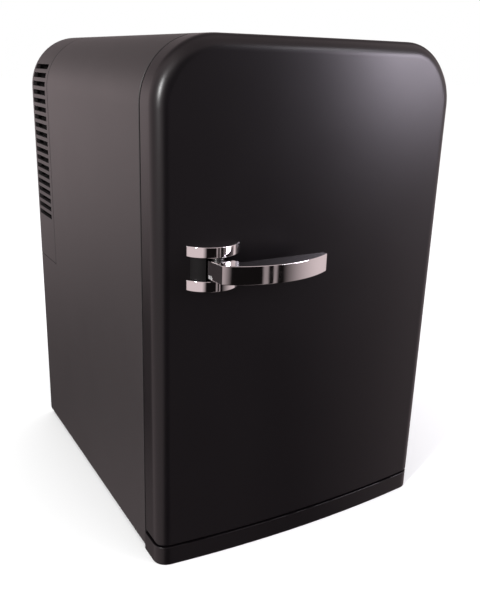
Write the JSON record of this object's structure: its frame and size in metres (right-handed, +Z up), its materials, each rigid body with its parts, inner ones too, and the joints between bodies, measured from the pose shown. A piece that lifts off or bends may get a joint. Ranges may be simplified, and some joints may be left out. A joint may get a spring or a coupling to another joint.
{
  "type": "mini fridge",
  "caption": "Small box-shaped thermoelectric fridge with rounded top corners, a bowed front door on a side hinge, a chrome pull lever latch and slotted rear air vents.",
  "frame": {"origin": "on the surface the fridge stands on, below the middle of its bounding box", "axes": "+X to the right seen from the front, +Y to the back, +Z up; the door faces -Y"},
  "size_m": [0.182, 0.2415, 0.28],
  "materials": {
    "shell_plastic": "satin",
    "door_plastic": "satin",
    "black_plastic": "matte",
    "liner_plastic": "satin",
    "shelf_plastic": "satin",
    "foam": "matte",
    "soft_rubber": "matte",
    "gasket_rubber": "matte",
    "anodised_aluminium": "satin",
    "module_ceramic": "matte",
    "chrome_plate": "polished",
    "zinc_steel": "satin",
    "fan_plastic": "satin",
    "bearing_bronze": "satin",
    "winding_copper": "satin",
    "board_green": "satin",
    "transformer_tape": "satin",
    "capacitor_sleeve": "gloss",
    "bare_aluminium": "satin",
    "wire_red": "satin",
    "wire_black": "satin",
    "pin_brass": "polished",
    "knob_plastic": "satin",
    "lens_plastic": "gloss",
    "nylon": "satin"
  },
  "bodies": {
    "cabinet": {"cabinet_shell": "shell_plastic", "rear_cover": "shell_plastic", "plinth": "door_plastic", "front_frame": "black_plastic", "rear_bulkhead": "black_plastic", "rear_panel": "black_plastic", "latch_keeper": "black_plastic", "switch_housing": "black_plastic", "ac_inlet": "black_plastic", "dc_socket": "black_plastic", "inner_liner": "liner_plastic", "shelf": "shelf_plastic", "cabinet_foam": "foam", "feet": "soft_rubber", "module_seal": "soft_rubber", "cold_plate": "anodised_aluminium", "cold_block": "anodised_aluminium", "heat_sink": "anodised_aluminium", "peltier_module": "module_ceramic", "rear_panel_screws": "zinc_steel", "rear_cover_screws": "zinc_steel", "cold_plate_screws": "zinc_steel", "heat_sink_screws": "zinc_steel", "fan_screws": "zinc_steel", "board_screws": "zinc_steel", "hinge_arms": "zinc_steel", "hinge_screws": "zinc_steel", "fan_frame": "fan_plastic", "fan_bearing": "bearing_bronze", "fan_stator": "winding_copper", "circuit_board": "board_green", "terminal_block": "board_green", "transformer": "transformer_tape", "capacitors": "capacitor_sleeve", "power_transistor": "bare_aluminium", "fan_wires": "wire_red", "module_wires": "wire_red", "inlet_wires": "wire_black", "ac_pins": "pin_brass", "dc_pins": "pin_brass", "indicator_lenses": "lens_plastic"},
    "door": {"door_outer": "door_plastic", "door_foam": "foam", "door_inner": "liner_plastic", "door_gasket": "gasket_rubber", "hinge_blocks": "black_plastic", "hinge_pins": "zinc_steel", "handle_base": "black_plastic", "upper_cheek": "chrome_plate", "lower_cheek": "chrome_plate", "handle_screws": "zinc_steel", "lever_pin": "zinc_steel", "lever_washers": "nylon", "lever_spring": "zinc_steel"},
    "lever": {"handle_lever": "chrome_plate", "latch_hook": "black_plastic", "hook_screw": "zinc_steel"},
    "fan": {"fan_rotor": "fan_plastic", "fan_shaft": "zinc_steel"},
    "switch": {"switch_knob": "knob_plastic"}
  },
  "joints": [
    {"name": "door_hinge", "type": "hinge", "parent": "cabinet", "child": "door", "pos_m": [0.086, -0.08225, 0.14], "axis": [0, 0, 1], "range_deg": [0, 110]},
    {"name": "lever_pivot", "type": "hinge", "parent": "door", "child": "lever", "pos_m": [-0.0615, -0.09985, 0.171], "axis": [0, 0, -1], "range_deg": [0, 10], "stiffness_Nm_per_rad": 0.3, "springref_deg": -17.19},
    {"name": "fan_spin", "type": "hinge", "parent": "cabinet", "child": "fan", "pos_m": [0, 0.10675, 0.205], "axis": [0, 1, 0], "continuous": true},
    {"name": "switch_slide", "type": "slide", "parent": "cabinet", "child": "switch", "axis": [1, 0, 0], "range_m": [-0.003, 0.003]}
  ]
}
